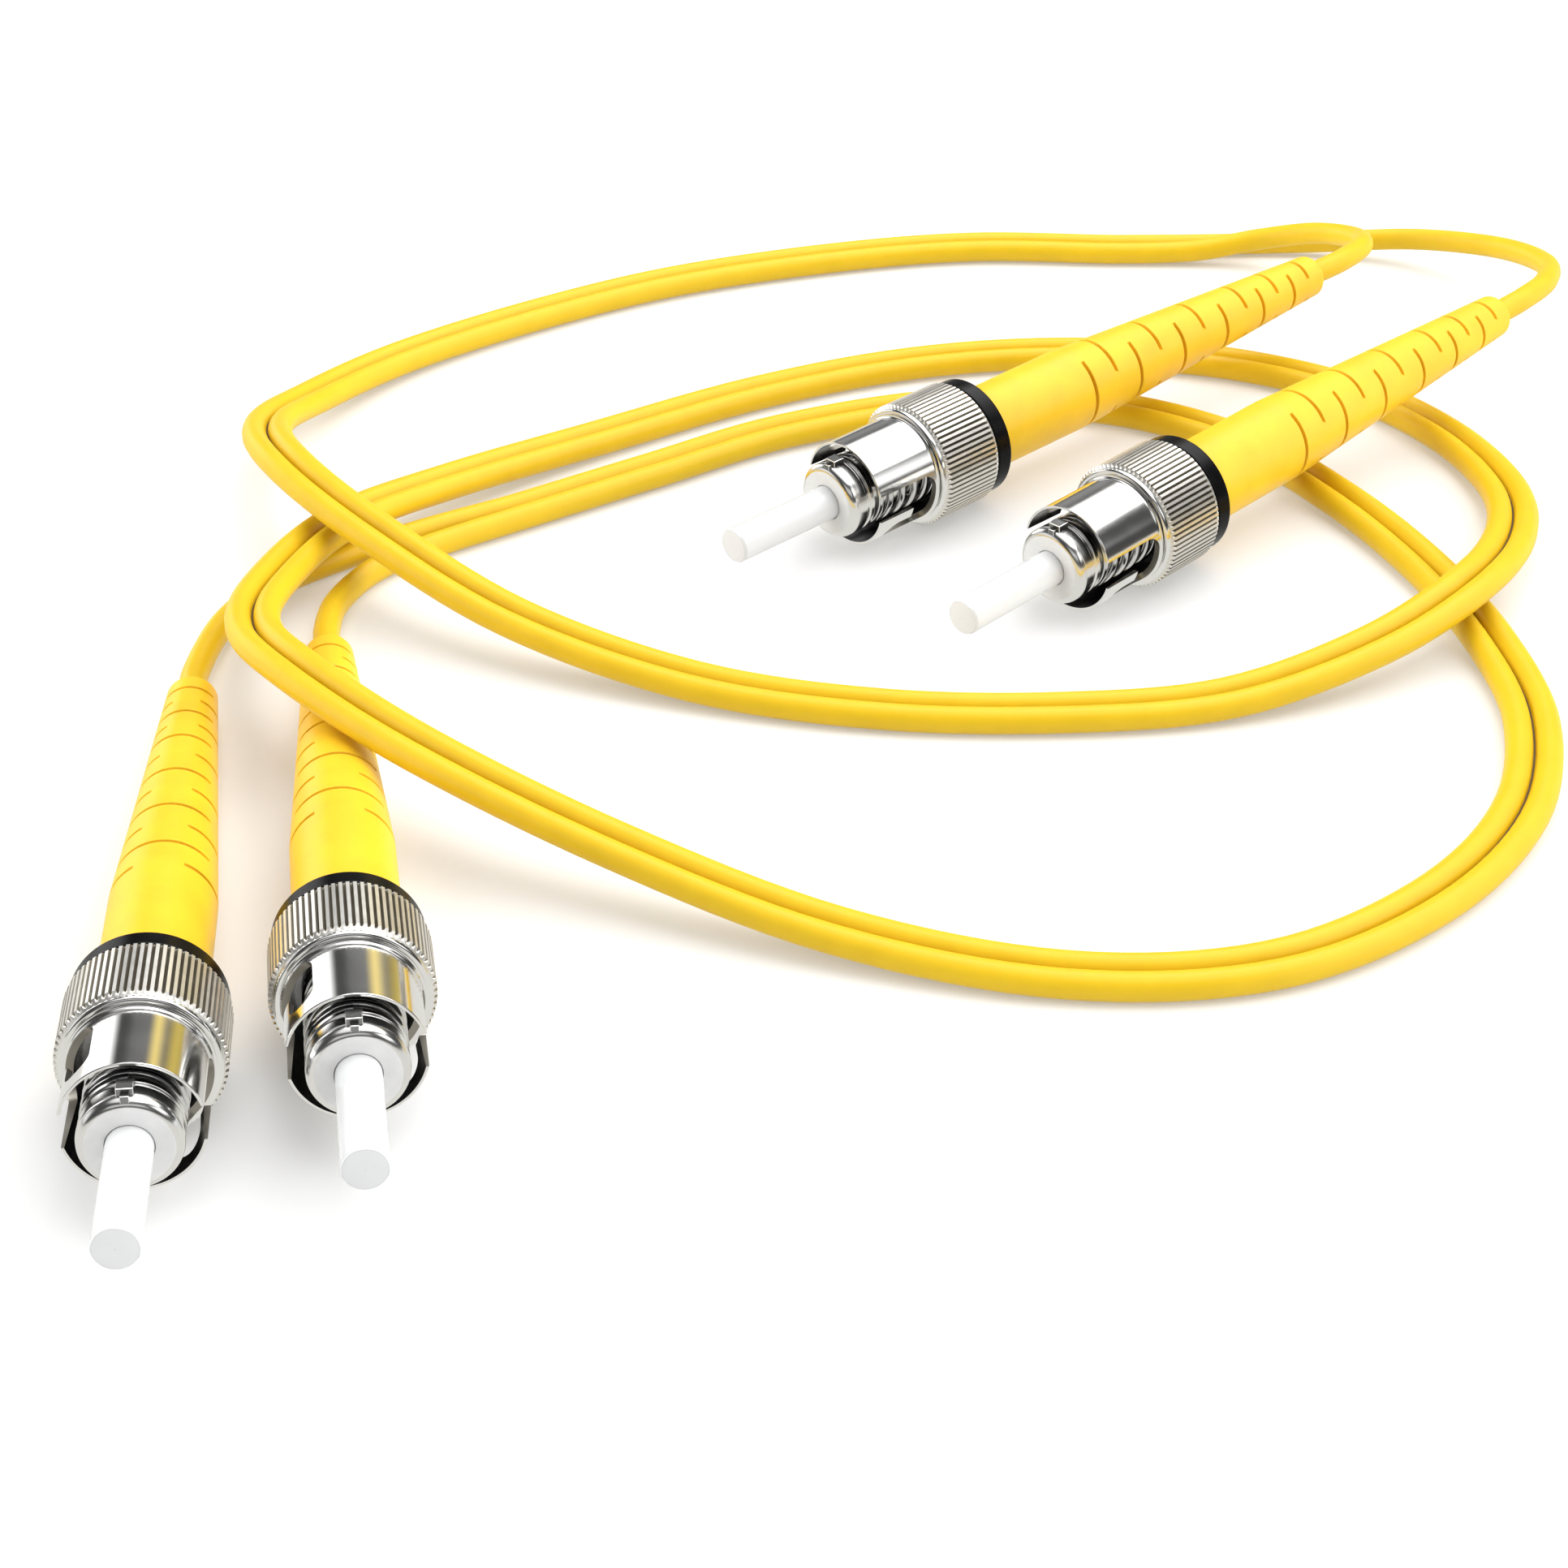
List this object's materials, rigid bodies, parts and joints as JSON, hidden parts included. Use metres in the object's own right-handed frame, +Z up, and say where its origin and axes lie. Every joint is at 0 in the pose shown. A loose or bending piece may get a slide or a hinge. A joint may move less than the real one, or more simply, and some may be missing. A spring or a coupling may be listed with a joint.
{
  "type": "fiber optic patch cord",
  "caption": "Duplex fiber optic patch cord: joined yellow jackets lie in loose loops and split into legs, each with a slotted boot and a bayonet plug with a ceramic ferrule.",
  "frame": {"origin": "middle of the four plugs' bounding box on the surface that the cord lies on", "axes": "+Z up from the surface, +Y away from the lower pair of plugs towards the rear loop, +X to the right"},
  "size_m": [0.1022, 0.1412, 0.0094],
  "materials": {
    "ceramic": "polished white zirconia",
    "nickel_plate": "bright nickel plate over brass",
    "spring_wire": "bright stainless wire and washer",
    "black_ring": "gloss black",
    "crimp_brass": "annealed brass",
    "fiber_buffer": "tight buffer",
    "boot_rubber": "satin golden yellow rubber",
    "cord_jacket": "satin yellow jacket"
  },
  "bodies": {
    "cord_set": {"a_ferrule": "ceramic", "a_plug_body": "nickel_plate", "a_spring": "spring_wire", "a_retaining_ring": "black_ring", "a_crimp_sleeve": "crimp_brass", "a_buffered_fiber": "fiber_buffer", "a_boot": "boot_rubber", "b_ferrule": "ceramic", "b_plug_body": "nickel_plate", "b_spring": "spring_wire", "b_retaining_ring": "black_ring", "b_crimp_sleeve": "crimp_brass", "b_buffered_fiber": "fiber_buffer", "b_boot": "boot_rubber", "c_ferrule": "ceramic", "c_plug_body": "nickel_plate", "c_spring": "spring_wire", "c_retaining_ring": "black_ring", "c_crimp_sleeve": "crimp_brass", "c_buffered_fiber": "fiber_buffer", "c_boot": "boot_rubber", "d_ferrule": "ceramic", "d_plug_body": "nickel_plate", "d_spring": "spring_wire", "d_retaining_ring": "black_ring", "d_crimp_sleeve": "crimp_brass", "d_buffered_fiber": "fiber_buffer", "d_boot": "boot_rubber", "zip_cord": "cord_jacket", "leg_a": "cord_jacket", "leg_b": "cord_jacket", "leg_c": "cord_jacket", "leg_d": "cord_jacket"},
    "a_slider": {"a_thrust_washer": "spring_wire"},
    "a_nut": {"a_coupling_nut": "nickel_plate"},
    "b_slider": {"b_thrust_washer": "spring_wire"},
    "b_nut": {"b_coupling_nut": "nickel_plate"},
    "c_slider": {"c_thrust_washer": "spring_wire"},
    "c_nut": {"c_coupling_nut": "nickel_plate"},
    "d_slider": {"d_thrust_washer": "spring_wire"},
    "d_nut": {"d_coupling_nut": "nickel_plate"}
  },
  "joints": [
    {"name": "a_nut_slide", "type": "slide", "parent": "cord_set", "child": "a_slider", "axis": [-0.7061, -0.7061, -0.0523], "range_m": [0, 0.0022], "stiffness_N_per_m": 300, "springref_m": -0.004, "deforming": ["a_spring"]},
    {"name": "a_nut_turn", "type": "hinge", "parent": "a_slider", "child": "a_nut", "pos_m": [0.01643, 0.02043, 0.00459], "axis": [-0.7061, -0.7061, -0.0523], "continuous": true},
    {"name": "b_nut_slide", "type": "slide", "parent": "cord_set", "child": "b_slider", "axis": [-0.7421, -0.6682, -0.0523], "range_m": [0, 0.0022], "stiffness_N_per_m": 300, "springref_m": -0.004, "deforming": ["b_spring"]},
    {"name": "b_nut_turn", "type": "hinge", "parent": "b_slider", "child": "b_nut", "pos_m": [0.00175, 0.03008, 0.00459], "axis": [-0.7421, -0.6682, -0.0523], "continuous": true},
    {"name": "c_nut_slide", "type": "slide", "parent": "cord_set", "child": "c_slider", "axis": [0.1042, -0.9918, 0.0736], "range_m": [0, 0.0022], "stiffness_N_per_m": 300, "springref_m": -0.004, "deforming": ["c_spring"]},
    {"name": "c_nut_turn", "type": "hinge", "parent": "c_slider", "child": "c_nut", "pos_m": [-0.04175, -0.04197, 0.00478], "axis": [0.1042, -0.9918, 0.0736], "continuous": true},
    {"name": "d_nut_slide", "type": "slide", "parent": "cord_set", "child": "d_slider", "axis": [0.156, -0.985, 0.0736], "range_m": [0, 0.0022], "stiffness_N_per_m": 300, "springref_m": -0.004, "deforming": ["d_spring"]},
    {"name": "d_nut_turn", "type": "hinge", "parent": "d_slider", "child": "d_nut", "pos_m": [-0.03142, -0.03604, 0.00478], "axis": [0.156, -0.985, 0.0736], "continuous": true}
  ]
}
